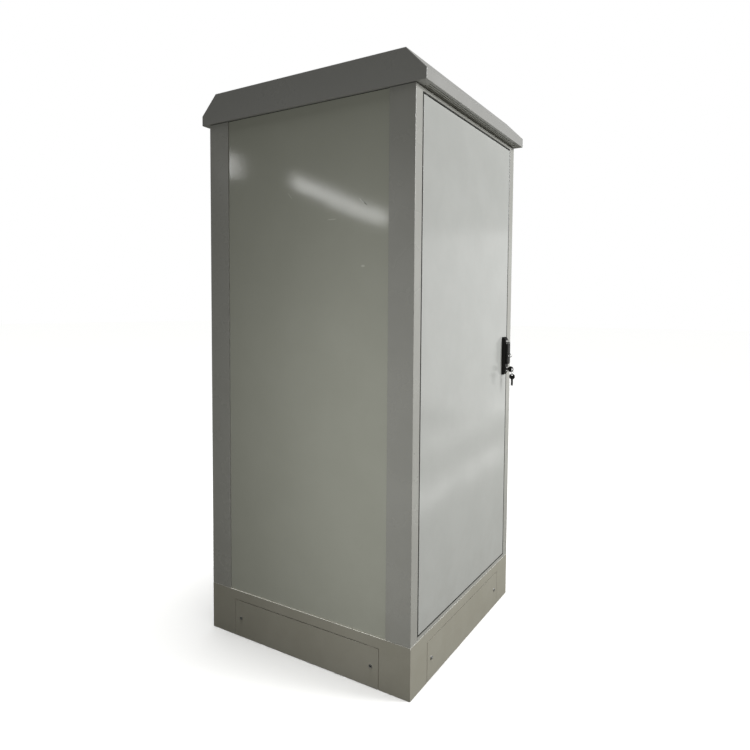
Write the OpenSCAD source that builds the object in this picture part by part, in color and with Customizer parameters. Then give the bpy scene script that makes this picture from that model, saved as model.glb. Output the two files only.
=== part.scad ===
// Outdoor equipment cabinet: a folded steel frame on a plinth, a hooded roof,
// and one front door with a swing handle and a three-point lock.
// Millimetres, +Z up, front towards -Y, origin on the ground under the middle.

/* [Cabinet] */
// Outer width across the corner posts
cab_w = 800; // [740:10:1000]
// Outer depth across the corner posts
cab_d = 800; // [740:10:1000]
// Height of the frame between plinth and roof seal
body_h = 1598; // [1200:2:2000]
// Thickness of the frame sheet
sheet = 2; // [1.5:0.5:2.5]

/* [Posts and rails] */
// Width of a post seen from the front or the rear
post_front_w = 43; // [38:1:50]
// Width of a post seen from the side
post_side_w = 85; // [70:1:110]
// Step from the post face back to the panel face
panel_recess = 3.5; // [2:0.5:6]
// Thickness of the side and rear panels
panel_t = 1.5; // [1:0.5:2.5]
// Seam round a panel
panel_gap = 1; // [0.5:0.5:2]
// Width of the post flange that a panel lies on
post_flange = 22; // [16:1:30]
// Height of the side and rear rails
rail_h = 40; // [30:1:60]
// Width of the flat flange of a rail
rail_flange = 40; // [36:1:60]

/* [Door opening] */
// Height of the strip above the door
lintel_h = 14; // [12:1:24]
// Height of the strip below the door
sill_h = 14; // [12:1:24]
// Depth of the front strips' fold under the roof and on the plinth
strip_flange = 25; // [20:1:32]
// Depth from the front face to the sealing surround
door_recess = 42; // [40:1:50]
// Width of the sealing surround
surround_w = 68; // [64:1:80]
// Height of the sealing lip
lip_h = 12; // [9:1:14]

/* [Door] */
// Gap round the door
door_gap = 4; // [3.5:0.5:6]
// Depth of the door pan
door_t = 22; // [20:1:23]
// Thickness of the door sheet
door_sheet = 2; // [1.5:0.5:2.5]
// Width of the return lip behind the pan
door_lip = 15; // [10:1:18]
// Width of the channel frame inside the door
channel_w = 20; // [16:1:24]
// Width of the door seal
gasket_w = 12; // [8:1:14]
// Gap left between the door seal and the lip
seal_clear = 0.3; // [0.2:0.1:0.5]

/* [Hinges] */
// Distance from the door edge to the hinge axis
hinge_in = 24; // [20:1:28]
// Distance from the door face to the hinge axis
hinge_back = 11; // [10:1:12]
// Diameter of a hinge pin
hinge_pin_d = 10; // [8:1:12]
// Width of a hinge socket
socket_w = 26; // [20:1:28]
// Height of a hinge socket
socket_h = 30; // [20:1:40]
// Diameter of the pin collar that the door turns on
collar_d = 18; // [16:1:20]
// Length of a pin beyond the frame strip
pin_tail = 6; // [4:1:8]

/* [Handle] */
// Distance from the cabinet side to the handle centre line
handle_in = 79; // [74:1:84]
// Height of the handle turning axis above the ground
handle_z = 1010; // [800:5:1100]
// Width of the handle base
base_w = 30; // [28:1:34]
// Length of the handle base above the turning axis
base_up = 23; // [20:1:28]
// Length of the handle base below the turning axis
base_down = 120; // [112:1:130]
// Thickness of the handle base
base_t = 15; // [14:1:17]
// Drop of the sloped ends of the base
base_slope = 8; // [5:1:9]
// Length of the sloped ends of the base
slope_len = 12; // [6:1:14]
// Width of the lever
lever_w = 26; // [24:1:28]
// Thickness of the lever
lever_t = 7.6; // [7:0.2:9]
// Length of the lever from its pin to its tip
lever_len = 79; // [74:1:84]
// Gap between lever and base
lever_gap = 0.5; // [0.4:0.1:1]
// Diameter of the lever pin
lever_pin_d = 4; // [3:0.5:4]
// Diameter of the carrier disc in the base
carrier_d = 24; // [20:1:26]
// Thickness of the carrier disc
carrier_t = 5; // [4:0.5:6]
// Width of the carrier tongue
tongue_w = 9; // [7:0.5:10]
// Diameter of the spindle
spindle_d = 10; // [8:0.5:10]
// Outer diameter of the threaded boss round the spindle
boss_d = 20; // [17:1:22]
// Diameter of the clamping nuts behind the door sheet
nut_d = 27; // [25:0.5:28]
// Thickness of the clamping nuts
nut_t = 4; // [3:0.5:6]
// Distance from the lever pin to the padlock eye
eye_at = 47; // [44:1:50]
// Mean diameter of the padlock eye
eye_d = 12; // [10:0.5:13]
// Wire diameter of the padlock eye
eye_wire = 3; // [2.5:0.5:3.5]
// How far the middle of the eye stands above the lever face
eye_out = 4.5; // [3.5:0.5:6]

/* [Lock] */
// Distance from the handle axis down to the lock cylinder
lock_down = 99; // [92:1:104]
// Diameter of the lock barrel
barrel_d = 17; // [15:1:18]
// Diameter of the turning plug
plug_d = 10; // [8:0.5:11]
// How far the barrel stands out of the base
barrel_out = 1; // [0.5:0.5:2]
// Height of the key bow
key_bow = 22; // [18:1:26]
// Thickness of the key bow
key_bow_t = 3; // [2:0.5:4]
// Thickness of the key blade
key_blade_t = 2; // [1.5:0.5:2.5]
// Width of the key blade
key_blade_w = 7; // [5:0.5:7.5]
// Length of the key blade inside the plug
key_blade_len = 20; // [14:1:26]
// Diameter of the hole in the key bow
key_hole_d = 6; // [5:0.5:7]
// Rim between the key's hole and the edge of its bow
key_rim = 2; // [1:0.5:3]
// Mean diameter of the key ring
ring_d = 18; // [16:1:24]
// Wire diameter of the key ring
ring_wire = 1.6; // [1.2:0.2:2]

/* [Lock rods] */
// Crank radius of the latch cam
crank_r = 16; // [15:0.5:17]
// Diameter of a crank pin
crank_pin_d = 5; // [4:0.5:5]
// Play of a crank pin across its slot
crank_play = 0.7; // [0.6:0.1:1]
// Width of a lock rod
rod_w = 16; // [15:0.5:16.5]
// Thickness of a lock rod
rod_t = 4; // [3:0.5:4]
// Distance from the handle axis to the middle of a rod
rod_off = 13.6; // [13:0.2:14]
// Thickness of the latch cam
cam_t = 3; // [2:0.5:3]
// Width of the latch cam
cam_w = 14; // [13:0.5:15]
// Gap between lock rods and what they slide past
rod_clear = 0.6; // [0.4:0.1:1]
// Thickness of a rod guide
guide_t = 2; // [1.5:0.5:2]
// Height of a rod guide
guide_h = 24; // [16:1:30]
// Distance from a rod's tip to its outer guide
guide_end = 120; // [80:10:200]
// Distance from a guide near the handle to the handle axis
guide_mid = 170; // [140:10:220]

/* [Roof] */
// Overhang of the roof past a side
roof_side = 3; // [2:1:10]
// Overhang of the roof past the front and the rear
roof_front = 34; // [24:1:60]
// Height of the upright roof edge
fascia_h = 32; // [20:1:50]
// Height of the roof slope
roof_rise = 66; // [40:1:90]
// Length of the roof slope seen from above
slope_run = 66; // [40:1:90]
// Thickness of the roof sheet
roof_sheet = 2; // [1.5:0.5:2.5]
// Thickness of the seal under the roof
roof_seal_t = 2; // [1.5:0.5:4]
// Width of the seal under the roof
roof_seal_w = 30; // [20:1:32]
// Width of the flange along the roof sides
roof_flange = 40; // [36:1:50]
// Width of the fold that holds the vent strip
soffit_fold = 9; // [6:1:10]
// Thickness of the vent strip
soffit_t = 1.5; // [1:0.5:2]
// Depth of the vent strip
soffit_w = 46; // [44:1:48]
// Diameter of a vent hole
vent_d = 5; // [3:0.5:5.5]
// Spacing of the vent holes along a row
vent_pitch = 9; // [8:0.5:14]
// Rows of vent holes
vent_rows = 3; // [2:1:3]

/* [Plinth] */
// Height of the plinth
plinth_h = 160; // [120:5:220]
// Thickness of the plinth sheet
plinth_sheet = 3; // [2.5:0.5:4]
// Height of the plinth band above the covers
band_h = 33; // [24:1:40]
// Width of a plinth leg on every side
leg_w = 107; // [90:1:120]
// Thickness of a plinth cover
cover_t = 2; // [1.5:0.5:2.5]
// Seam round a plinth cover
cover_gap = 1.5; // [1:0.5:2.5]
// Width of the tab behind each end of a cover
tab_w = 44; // [38:1:60]
// Distance from a cover's end to its screw
screw_in = 27; // [22:1:30]
// Height of the cover screws above the ground
screw_z = 66; // [50:1:80]
// Head diameter of a cover screw
screw_head_d = 11; // [9:0.5:12]
// Head height of a cover screw
screw_head_h = 2.4; // [1.5:0.1:3]
// Shank diameter of a cover screw
screw_d = 6; // [5:0.5:6]
// Width of the plinth's top flange
plinth_flange = 40; // [36:1:50]
// Thickness of the foot plates
foot_t = 6; // [5:1:8]
// Distance from the cabinet side to an anchor hole
anchor_in = 60; // [50:1:70]
// Diameter of an anchor hole
anchor_d = 14; // [12:1:18]

/* [Fittings inside] */
// Depth between the faces of the front and rear rack rails
rack_depth = 500; // [400:10:520]
// Clear width between the rack rails
rack_open = 450; // [450:1:452]
// Spacing of the rail hole columns across the rack
rack_holes = 465; // [464:0.1:466]
// Height of one rack unit
rack_unit = 44.45; // [44:0.05:45]
// Width of a square rail hole
rail_hole = 9.5; // [9:0.5:10]
// Width of a rack rail's face
rail_face = 27; // [25:1:30]
// Depth of a rack rail's side
rail_side = 40; // [30:1:40]
// Height of a cross bar
bar_h = 30; // [24:1:40]
// Depth of a cross bar
bar_w = 40; // [30:1:50]
// Diameter of a cable entry
entry_d = 50; // [40:1:60]
// Spacing of the cable entries
entry_pitch = 110; // [80:5:120]
// Distance from the rear to the row of cable entries
entry_rear = 270; // [250:5:290]
// Wall of a cable entry ring
ring_wall = 6; // [4:1:8]
// Thickness of the closing skin of a cable entry
skin_t = 2; // [1.5:0.5:3]
// Length of the earth bar
earth_l = 300; // [200:10:400]
// Width of the earth bar
earth_w = 25; // [20:1:30]
// Thickness of the earth bar
earth_t = 5; // [4:1:6]
// Height of an earth bar post
earth_post_h = 25; // [20:1:40]
// Diameter of an earth bar post
earth_post_d = 16; // [12:1:20]
// Distance from the rear to the earth bar
earth_rear = 95; // [70:5:110]
// Least space between the rack and the earth bar
earth_space = 5; // [2:1:20]
// Number of holes along the earth bar
earth_holes = 8; // [4:1:10]
// Diameter of the frame bolts
bolt_d = 10; // [8:1:12]
// Distance from the middle to a frame bolt
bolt_y = 150; // [120:5:170]
// Slots in a row of the top plate
slot_count = 10; // [4:1:12]
// Length of a slot in the top plate
slot_l = 120; // [80:5:160]
// Width of a slot in the top plate
slot_w = 8; // [5:1:10]

/* [Fits] */
// Radial play of a turning pin or shaft
run_fit = 0.05; // [0.02:0.01:0.1]
// Gap between pieces that only pass each other
clear = 0.5; // [0.3:0.1:1]

/* [Hidden] */
$fn = 48;
paint = [0.72, 0.72, 0.69];
zinc = [0.62, 0.64, 0.65];
black = [0.08, 0.08, 0.08];
dark_rubber = [0.13, 0.13, 0.13];
steel = [0.70, 0.70, 0.72];
copper = [0.72, 0.45, 0.25];
// Overlap of sheets that are welded into one piece, and of cuts past a face
weld_lap = 10;
past = 1;

xo = cab_w / 2;
yo = cab_d / 2;
z0 = plinth_h;
z1 = plinth_h + body_h;
roof_z = z1 + roof_seal_t;
panel_seat = panel_recess + panel_t;
rail_x = xo - panel_seat - sheet;
rail_y = yo - panel_seat - sheet;

open_x = xo - post_front_w;
open_z0 = z0 + sill_h;
open_z1 = z1 - lintel_h;
stop_y = -yo + door_recess;
lip_x = open_x - surround_w;
lip_z0 = open_z0 + surround_w;
lip_z1 = open_z1 - surround_w;
lip_y = stop_y - lip_h;

door_x = open_x - door_gap;
door_z0 = open_z0 + door_gap;
door_z1 = open_z1 - door_gap;
door_in = -yo + door_sheet;
door_back = -yo + door_t;
hinge_x = -door_x + hinge_in;
hinge_y = -yo + hinge_back;

handle_x = xo - handle_in;
lock_z = handle_z - lock_down;
lever_back = -yo - base_t - lever_gap;
lever_y = lever_back - lever_t / 2;
lever_face = lever_back - lever_t;
barrel_face = -yo - base_t - barrel_out;
rod_y = door_back + rod_clear;
cam_y = rod_y + rod_t + rod_clear;
crank_off = crank_r * sin(45);
rod_travel = 2 * crank_off;
// The rod tips stop short of the strips' outer folds
tip_room = 2;
rod_top = z1 - sheet - tip_room;
rod_bottom = z0 + sheet + tip_room;
// Material left round the crank slot at the end of a rod
rod_end = 8;

bolt_x = rail_x - rail_flange / 2;
bolt_hole_d = bolt_d + 2 * clear;
bolt_head_d = 1.7 * bolt_d;
bolt_head_h = 0.6 * bolt_d;
bolt_head_hole_d = bolt_head_d + 4 * clear;
bolt_spots = [for (sx = [-1, 1]) for (sy = [-1, 1]) [sx * bolt_x, sy * bolt_y]];

floor_z = z0 + sheet;
floor_top = floor_z + sheet;
earth_y = yo - earth_rear;
rack_mid = min(0, earth_y - earth_w / 2 - earth_space - rack_depth / 2);
rack_z0 = floor_top + bar_h;
rack_z1 = z1 - sheet - bar_h;
rack_units = floor((rack_z1 - rack_z0) / rack_unit);

// A block between two opposite corners
module block(lo, hi) {
    translate(lo) cube(hi - lo);
}

// A folded sheet seen on edge: a square pen of the sheet's thickness along right-angled points
module fold(points, t) {
    for (i = [0 : len(points) - 2]) {
        p = points[i];
        q = points[i + 1];
        translate([min(p.x, q.x), min(p.y, q.y)])
            square([abs(q.x - p.x) + t, abs(q.y - p.y) + t]);
    }
}

// A section drawn in Y and Z, running along X
module along_x(length) {
    rotate([90, 0, 90]) linear_extrude(length, center = true) children();
}

// A section drawn in X and Z, running along Y
module along_y(length) {
    rotate([90, 0, 0]) linear_extrude(length, center = true) children();
}

// An outline drawn in X and Z, from the plane y towards the rear
module upright(y, depth) {
    translate([0, y + depth, 0]) rotate([90, 0, 0]) linear_extrude(depth) children();
}

// A round bar along Y, from the plane y towards the rear
module bar_y(x, y, z, d, length) {
    translate([x, y, z]) rotate([-90, 0, 0]) cylinder(d = d, h = length);
}

// Children and their mirror image across the middle plane
module both_sides() {
    children();
    mirror([1, 0, 0]) children();
}

// Children drawn at the front, turned to side 0 front, 1 right, 2 rear or 3 left
module on_side(i) {
    rotate([0, 0, 90 * i]) children();
}
function half_of(i) = i % 2 == 0 ? xo : yo;
function reach_of(i) = i % 2 == 0 ? yo : xo;

// A rectangular ring standing upright, from its outer half width and heights to its inner ones
module upright_ring(y, depth, x_out, zs_out, x_in, zs_in) {
    difference() {
        block([-x_out, y, zs_out[0]], [x_out, y + depth, zs_out[1]]);
        block([-x_in, y - past, zs_in[0]], [x_in, y + depth + past, zs_in[1]]);
    }
}

// A through bolt with its head on z = 0 and its nut below the grip
module frame_bolt(grip) {
    nut_h = 0.8 * bolt_d;
    cylinder(d = bolt_head_d, h = bolt_head_h, $fn = 6);
    translate([0, 0, -grip - nut_h - bolt_head_h / 2])
        cylinder(d = bolt_d, h = grip + nut_h + bolt_head_h / 2 + past);
    translate([0, 0, -grip - nut_h]) cylinder(d = bolt_head_d, h = nut_h, $fn = 6);
}

// Clearance holes for the frame bolts through the sheets between two heights
module bolt_holes(d, low, high) {
    for (spot = bolt_spots)
        translate([spot.x, spot.y, low - past]) cylinder(d = d, h = high - low + 2 * past);
}

// Plinth
module plinth_frame() color(paint) difference() {
    union() {
        difference() {
            block([-xo, -yo, 0], [xo, yo, z0]);
            block([-xo + plinth_sheet, -yo + plinth_sheet, -past],
                [xo - plinth_sheet, yo - plinth_sheet, z0 + past]);
            for (i = [0 : 3]) on_side(i)
                block([-half_of(i) + leg_w, -reach_of(i) - past, -past],
                    [half_of(i) - leg_w, -reach_of(i) + plinth_sheet + past, z0 - band_h]);
        }
        for (i = [0 : 3]) on_side(i) both_sides() cover_tab(half_of(i), reach_of(i));
        difference() {
            block([-xo, -yo, z0 - plinth_sheet], [xo, yo, z0]);
            block([-xo + plinth_flange, -yo + plinth_flange, z0 - plinth_sheet - past],
                [xo - plinth_flange, yo - plinth_flange, z0 + past]);
        }
        for (sx = [0, 1]) for (sy = [0, 1]) mirror([sx, 0, 0]) mirror([0, sy, 0])
            block([xo - leg_w, yo - leg_w, 0], [xo - plinth_sheet / 2, yo - plinth_sheet / 2, foot_t]);
    }
    for (sx = [-1, 1]) for (sy = [-1, 1])
        translate([sx * (xo - anchor_in), sy * (yo - anchor_in), -past])
            cylinder(d = anchor_d, h = foot_t + 2 * past);
    bolt_holes(bolt_hole_d, z0 - plinth_sheet, z0);
    for (i = [0 : 3]) on_side(i) both_sides()
        bar_y(screw_x(i), -reach_of(i), screw_z, screw_d, cover_t + plinth_sheet + past);
}
function screw_x(i) = half_of(i) - leg_w - cover_gap - screw_in;

// The tab behind one end of a plinth cover
module cover_tab(half, reach) {
    block([half - leg_w - tab_w, -reach + cover_t, 0],
        [half - leg_w + weld_lap, -reach + cover_t + plinth_sheet, z0 - band_h + weld_lap]);
}

module plinth_cover(i) color(paint) on_side(i) difference() {
    half = half_of(i) - leg_w - cover_gap;
    block([-half, -reach_of(i), cover_gap], [half, -reach_of(i) + cover_t, z0 - band_h - cover_gap]);
    both_sides() bar_y(screw_x(i), -reach_of(i) - past, screw_z, screw_d, cover_t + 2 * past);
}

module plinth_screws() color(zinc) for (i = [0 : 3]) on_side(i) both_sides() {
    bar_y(screw_x(i), -reach_of(i), screw_z, screw_d, cover_t + plinth_sheet);
    bar_y(screw_x(i), -reach_of(i) - screw_head_h, screw_z, screw_head_d, screw_head_h);
}

module frame_bolts() color(zinc) for (spot = bolt_spots) {
    translate([spot.x, spot.y, z0 + sheet]) frame_bolt(sheet + plinth_sheet);
    translate([spot.x, spot.y, roof_z + roof_sheet]) frame_bolt(roof_sheet + roof_seal_t + sheet);
}

// Corner posts, drawn for the left side
module corner_post_front() translate([0, 0, z0]) linear_extrude(body_h) fold([
    [-open_x - sheet, stop_y - sheet],
    [-open_x - sheet, -yo],
    [-xo, -yo],
    [-xo, -yo + post_side_w - sheet],
    [-xo + panel_seat, -yo + post_side_w - sheet],
    [-xo + panel_seat, -yo + post_side_w + post_flange - sheet]
], sheet);

module corner_post_rear() translate([0, 0, z0]) linear_extrude(body_h) fold([
    [-open_x + post_flange - sheet, yo - panel_seat - sheet],
    [-open_x - sheet, yo - panel_seat - sheet],
    [-open_x - sheet, yo - sheet],
    [-xo, yo - sheet],
    [-xo, yo - post_side_w],
    [-xo + panel_seat, yo - post_side_w],
    [-xo + panel_seat, yo - post_side_w - post_flange]
], sheet);

module corner_post_front_left() color(paint) corner_post_front();
module corner_post_front_right() color(paint) mirror([1, 0, 0]) corner_post_front();
module corner_post_rear_left() color(paint) corner_post_rear();
module corner_post_rear_right() color(paint) mirror([1, 0, 0]) corner_post_rear();

// Strips above and below the door, with the hinge and lock rod holes in their folds
module lintel() color(paint) difference() {
    along_x(2 * open_x) fold([
        [-yo + strip_flange - sheet, z1 - sheet],
        [-yo, z1 - sheet],
        [-yo, open_z1],
        [stop_y - sheet, open_z1]
    ], sheet);
    strip_holes(open_z1, rod_off);
}

module sill() color(paint) difference() {
    along_x(2 * open_x) fold([
        [-yo + strip_flange - sheet, z0],
        [-yo, z0],
        [-yo, open_z0 - sheet],
        [stop_y - sheet, open_z0 - sheet]
    ], sheet);
    strip_holes(open_z0 - sheet, -rod_off);
}

// A pin hole and a rod slot through a strip's inner fold
module strip_holes(low, off) {
    translate([hinge_x, hinge_y, low - past]) cylinder(d = hinge_pin_d, h = sheet + 2 * past);
    slot = rod_w / 2 + rod_clear;
    block([handle_x + off - slot, rod_y - rod_clear, low - past],
        [handle_x + off + slot, rod_y + rod_t + rod_clear, low + sheet + past]);
}

// Rails behind the side and rear panels: an upright web and one flat flange
module side_rail(far, near) color(paint) along_y(2 * (yo - post_side_w + sheet)) fold([
    [-rail_x, far],
    [-rail_x, near],
    [-rail_x + rail_flange - sheet, near]
], sheet);

module rear_rail(far, near) color(paint) along_x(2 * (open_x + sheet)) fold([
    [rail_y - sheet, far],
    [rail_y - sheet, near],
    [rail_y - rail_flange, near]
], sheet);

module side_rail_top() difference() {
    side_rail(z1 - rail_h, z1 - sheet);
    bolt_holes(bolt_hole_d, z1 - sheet, z1);
}

module side_rail_bottom() difference() {
    side_rail(z0 + rail_h - sheet, z0);
    bolt_holes(bolt_hole_d, z0, z0 + sheet);
}

module side_rail_top_left() color(paint) side_rail_top();
module side_rail_top_right() color(paint) mirror([1, 0, 0]) side_rail_top();
module side_rail_bottom_left() color(paint) side_rail_bottom();
module side_rail_bottom_right() color(paint) mirror([1, 0, 0]) side_rail_bottom();
module rear_rail_top() rear_rail(z1 - rail_h, z1 - sheet);
module rear_rail_bottom() rear_rail(z0 + rail_h - sheet, z0);

// The surround that the door seals on, with its forward lip
module door_surround() color(paint) {
    upright_ring(stop_y, sheet, open_x + sheet, [open_z0 - sheet, open_z1 + sheet],
        lip_x, [lip_z0, lip_z1]);
    upright_ring(lip_y, lip_h + sheet, lip_x + sheet, [lip_z0 - sheet, lip_z1 + sheet],
        lip_x, [lip_z0, lip_z1]);
}

module side_panel() color(paint)
    block([-xo + panel_recess, -yo + post_side_w + panel_gap, z0],
        [-xo + panel_seat, yo - post_side_w - panel_gap, z1]);
module side_panel_left() side_panel();
module side_panel_right() mirror([1, 0, 0]) side_panel();

module rear_panel() color(paint)
    block([-open_x + panel_gap, yo - panel_seat, z0], [open_x - panel_gap, yo - panel_recess, z1]);

// Floor with its cable entries, each closed by a rubber grommet
entry_count = 4;
entry_y = yo - entry_rear;
function entry_x(i) = (i - (entry_count - 1) / 2) * entry_pitch;

module floor_plate() color(zinc) difference() {
    edge = sheet + clear;
    block([-rail_x + edge, stop_y + edge, floor_z], [rail_x - edge, rail_y - edge, floor_top]);
    bolt_holes(bolt_head_hole_d, floor_z, floor_top);
    for (i = [0 : entry_count - 1]) translate([entry_x(i), entry_y, floor_z - past])
        cylinder(d = entry_d, h = sheet + 2 * past);
}

module cable_grommets() color(dark_rubber) for (i = [0 : entry_count - 1])
    translate([entry_x(i), entry_y, floor_z]) rotate_extrude() {
        r = entry_d / 2;
        square([r, skin_t]);
        translate([r - ring_wall, -ring_wall / 2]) square([ring_wall, sheet + ring_wall]);
        translate([r - ring_wall, -ring_wall / 2]) square([2 * ring_wall, ring_wall / 2]);
        translate([r - ring_wall, sheet]) square([2 * ring_wall, ring_wall / 2]);
    }

// Slotted plate over the equipment space
plate_lap = 6;
module top_plate() color(zinc) difference() {
    plate_x = rail_x - rail_flange + plate_lap;
    block([-plate_x, -yo + strip_flange - plate_lap, z1],
        [plate_x, rail_y - rail_flange + plate_lap, z1 + sheet]);
    slot_pitch = 2 * plate_x / (slot_count + 1);
    for (i = [1 : slot_count]) for (side = [-1, 1])
        translate([-plate_x + i * slot_pitch - slot_w / 2, side * bolt_y - slot_l / 2, z1 - past])
            cube([slot_w, slot_l, sheet + 2 * past]);
}

// Roof: a hood over the frame with vent strips under its front and rear overhangs
seal_in = 6;
roof_x = xo + roof_side;
roof_y = yo + roof_front;

module roof_seals() color(dark_rubber) both_sides() difference() {
    block([xo - seal_in - roof_seal_w, -yo + seal_in, z1], [xo - seal_in, yo - seal_in, roof_z]);
    bolt_holes(bolt_hole_d, z1, roof_z);
}

// The roof's outline from the side, drawn in by one sheet for the inside
function roof_outline(inset) =
    let (a = atan(roof_rise / slope_run),
        edge = roof_y - inset,
        shoulder = roof_z + fascia_h - inset * tan((90 - a) / 2),
        ridge = roof_y - slope_run - inset * tan(a / 2),
        top = roof_z + fascia_h + roof_rise - inset,
        bottom = inset > 0 ? roof_z - past : roof_z)
    [[-edge, bottom], [-edge, shoulder], [-ridge, top], [ridge, top], [edge, shoulder], [edge, bottom]];

module roof_hood() color(paint) difference() {
    union() {
        difference() {
            along_x(2 * roof_x) polygon(roof_outline(0));
            along_x(2 * (roof_x - roof_sheet)) polygon(roof_outline(roof_sheet));
        }
        weld = roof_sheet / 2;
        both_sides() block([roof_x - roof_sheet - roof_flange, -roof_y + weld, roof_z],
            [roof_x - weld, roof_y - weld, roof_z + roof_sheet]);
        for (side = [0, 1]) mirror([0, side, 0])
            block([-roof_x + weld, -roof_y + weld, roof_z],
                [roof_x - weld, -roof_y + roof_sheet + soffit_fold, roof_z + roof_sheet]);
    }
    bolt_holes(bolt_hole_d, roof_z, roof_z + roof_sheet);
}

// A perforated vent strip with staggered rows of holes
module soffit_grille() color(paint) translate([0, 0, roof_z + roof_sheet]) linear_extrude(soffit_t) difference() {
    half = roof_x - roof_sheet - clear;
    outer = roof_y - roof_sheet - clear;
    translate([-half, -outer]) square([2 * half, soffit_w]);
    row_pitch = vent_pitch * sin(60);
    middle = (-roof_y + roof_sheet + soffit_fold - yo) / 2;
    columns = floor((half - roof_flange) / vent_pitch - 1);
    for (row = [0 : vent_rows - 1]) for (i = [-columns : columns])
        translate([(i + (row % 2) / 2) * vent_pitch, middle + (row - (vent_rows - 1) / 2) * row_pitch])
            circle(d = vent_d, $fn = 16);
}
module soffit_grille_front() soffit_grille();
module soffit_grille_rear() rotate([0, 0, 180]) soffit_grille();

// The rack stands in the middle, or further forward where the earth bar needs the space
module at_rack() translate([0, rack_mid, 0]) children();

// Cross bars that carry the rack rails
module cross_bar_lower() color(zinc) along_x(2 * (rail_x - sheet)) fold([
    [-rack_depth / 2, floor_top],
    [-rack_depth / 2, rack_z0 - sheet],
    [-rack_depth / 2 + bar_w - sheet, rack_z0 - sheet],
    [-rack_depth / 2 + bar_w - sheet, floor_top]
], sheet);
module cross_bar_upper() color(zinc) along_x(2 * (rail_x - sheet)) fold([
    [-rack_depth / 2, z1 - 2 * sheet],
    [-rack_depth / 2, rack_z1],
    [-rack_depth / 2 + bar_w - sheet, rack_z1],
    [-rack_depth / 2 + bar_w - sheet, z1 - 2 * sheet]
], sheet);
module cross_bar_front_lower() at_rack() cross_bar_lower();
module cross_bar_front_upper() at_rack() cross_bar_upper();
module cross_bar_rear_lower() at_rack() mirror([0, 1, 0]) cross_bar_lower();
module cross_bar_rear_upper() at_rack() mirror([0, 1, 0]) cross_bar_upper();

// Rack rail at the front left, with three square holes in every unit
hole_steps = [1 / 7, 1 / 2, 6 / 7];
module rack_rail() color(zinc) {
    edge = rack_open / 2;
    face = -rack_depth / 2;
    upright(face, sheet) difference() {
        translate([-edge - rail_face, rack_z0]) square([rail_face, rack_z1 - rack_z0]);
        for (unit = [0 : rack_units - 1]) for (step = hole_steps)
            translate([-rack_holes / 2, rack_z0 + (unit + step) * rack_unit])
                square(rail_hole, center = true);
    }
    block([-edge - rail_face, face, rack_z0], [-edge - rail_face + sheet, face + rail_side, rack_z1]);
}
module rack_rail_front_left() at_rack() rack_rail();
module rack_rail_front_right() at_rack() mirror([1, 0, 0]) rack_rail();
module rack_rail_rear_left() at_rack() mirror([0, 1, 0]) rack_rail();
module rack_rail_rear_right() at_rack() rotate([0, 0, 180]) rack_rail();

// Earth bar on its two posts
earth_pitch = earth_l / (earth_holes + 2);
module earth_bar() color(copper) difference() {
    low = floor_top + earth_post_h;
    block([-earth_l / 2, earth_y - earth_w / 2, low], [earth_l / 2, earth_y + earth_w / 2, low + earth_t]);
    for (i = [1 : earth_holes]) translate([(i - (earth_holes + 1) / 2) * earth_pitch, earth_y, low - past])
        cylinder(d = earth_w / 3, h = earth_t + 2 * past);
}
module earth_posts() color(zinc) both_sides()
    translate([earth_l / 2 - earth_pitch / 2, earth_y, floor_top]) cylinder(d = earth_post_d, h = earth_post_h);

// Hinge pins fixed in the sill and the lintel, each with a collar towards the door
collar_gap = 0.3;
module hinge_pins() color(steel) translate([hinge_x, hinge_y, 0]) {
    sunk = door_sheet + socket_h / 2;
    translate([0, 0, open_z0 - sheet - pin_tail])
        cylinder(d = hinge_pin_d, h = pin_tail + sheet + door_gap + sunk);
    translate([0, 0, open_z0]) cylinder(d = collar_d, h = door_gap - collar_gap);
    translate([0, 0, door_z1 - sunk])
        cylinder(d = hinge_pin_d, h = sunk + door_gap + sheet + pin_tail);
    translate([0, 0, door_z1 + collar_gap]) cylinder(d = collar_d, h = door_gap - collar_gap);
}

// Door: a folded pan with return lips
module door_panel() color(paint) difference() {
    union() {
        difference() {
            block([-door_x, -yo, door_z0], [door_x, door_back, door_z1]);
            block([-door_x + door_sheet, door_in, door_z0 + door_sheet],
                [door_x - door_sheet, door_back + past, door_z1 - door_sheet]);
        }
        upright_ring(door_back - door_sheet, door_sheet, door_x, [door_z0, door_z1],
            door_x - door_lip, [door_z0 + door_lip, door_z1 - door_lip]);
    }
    for (hole = [[handle_z, boss_d], [lock_z, barrel_d]])
        bar_y(handle_x, -yo - past, hole[0], hole[1] + 2 * clear, door_sheet + 2 * past);
    for (low = [door_z0, door_z1 - door_sheet]) translate([hinge_x, hinge_y, low - past])
        cylinder(d = hinge_pin_d + 2 * clear, h = door_sheet + 2 * past);
}

// A ring that follows the sealing lip, by its reach outward and inward from the lip
lip_mid_x = lip_x + sheet / 2;
lip_mid_z0 = lip_z0 - sheet / 2;
lip_mid_z1 = lip_z1 + sheet / 2;
module lip_ring(y, depth, reach) {
    upright_ring(y, depth, lip_mid_x + reach, [lip_mid_z0 - reach, lip_mid_z1 + reach],
        lip_mid_x - reach, [lip_mid_z0 + reach, lip_mid_z1 - reach]);
}

module door_channel() color(zinc) difference() {
    lip_ring(door_in, door_back - door_in, channel_w / 2);
    lip_ring(door_in - past, door_back - door_in - door_sheet + past, channel_w / 2 - door_sheet);
}

module door_gasket() color(dark_rubber)
    lip_ring(door_back, lip_y - door_back - seal_clear, gasket_w / 2);

module hinge_sockets() color(steel) difference() {
    for (low = [door_z0 + door_sheet, door_z1 - door_sheet - socket_h])
        block([hinge_x - socket_w / 2, door_in, low],
            [hinge_x + socket_w / 2, door_back - door_sheet, low + socket_h]);
    translate([hinge_x, hinge_y, door_z0]) cylinder(d = hinge_pin_d + 2 * run_fit, h = door_z1 - door_z0);
}

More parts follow.
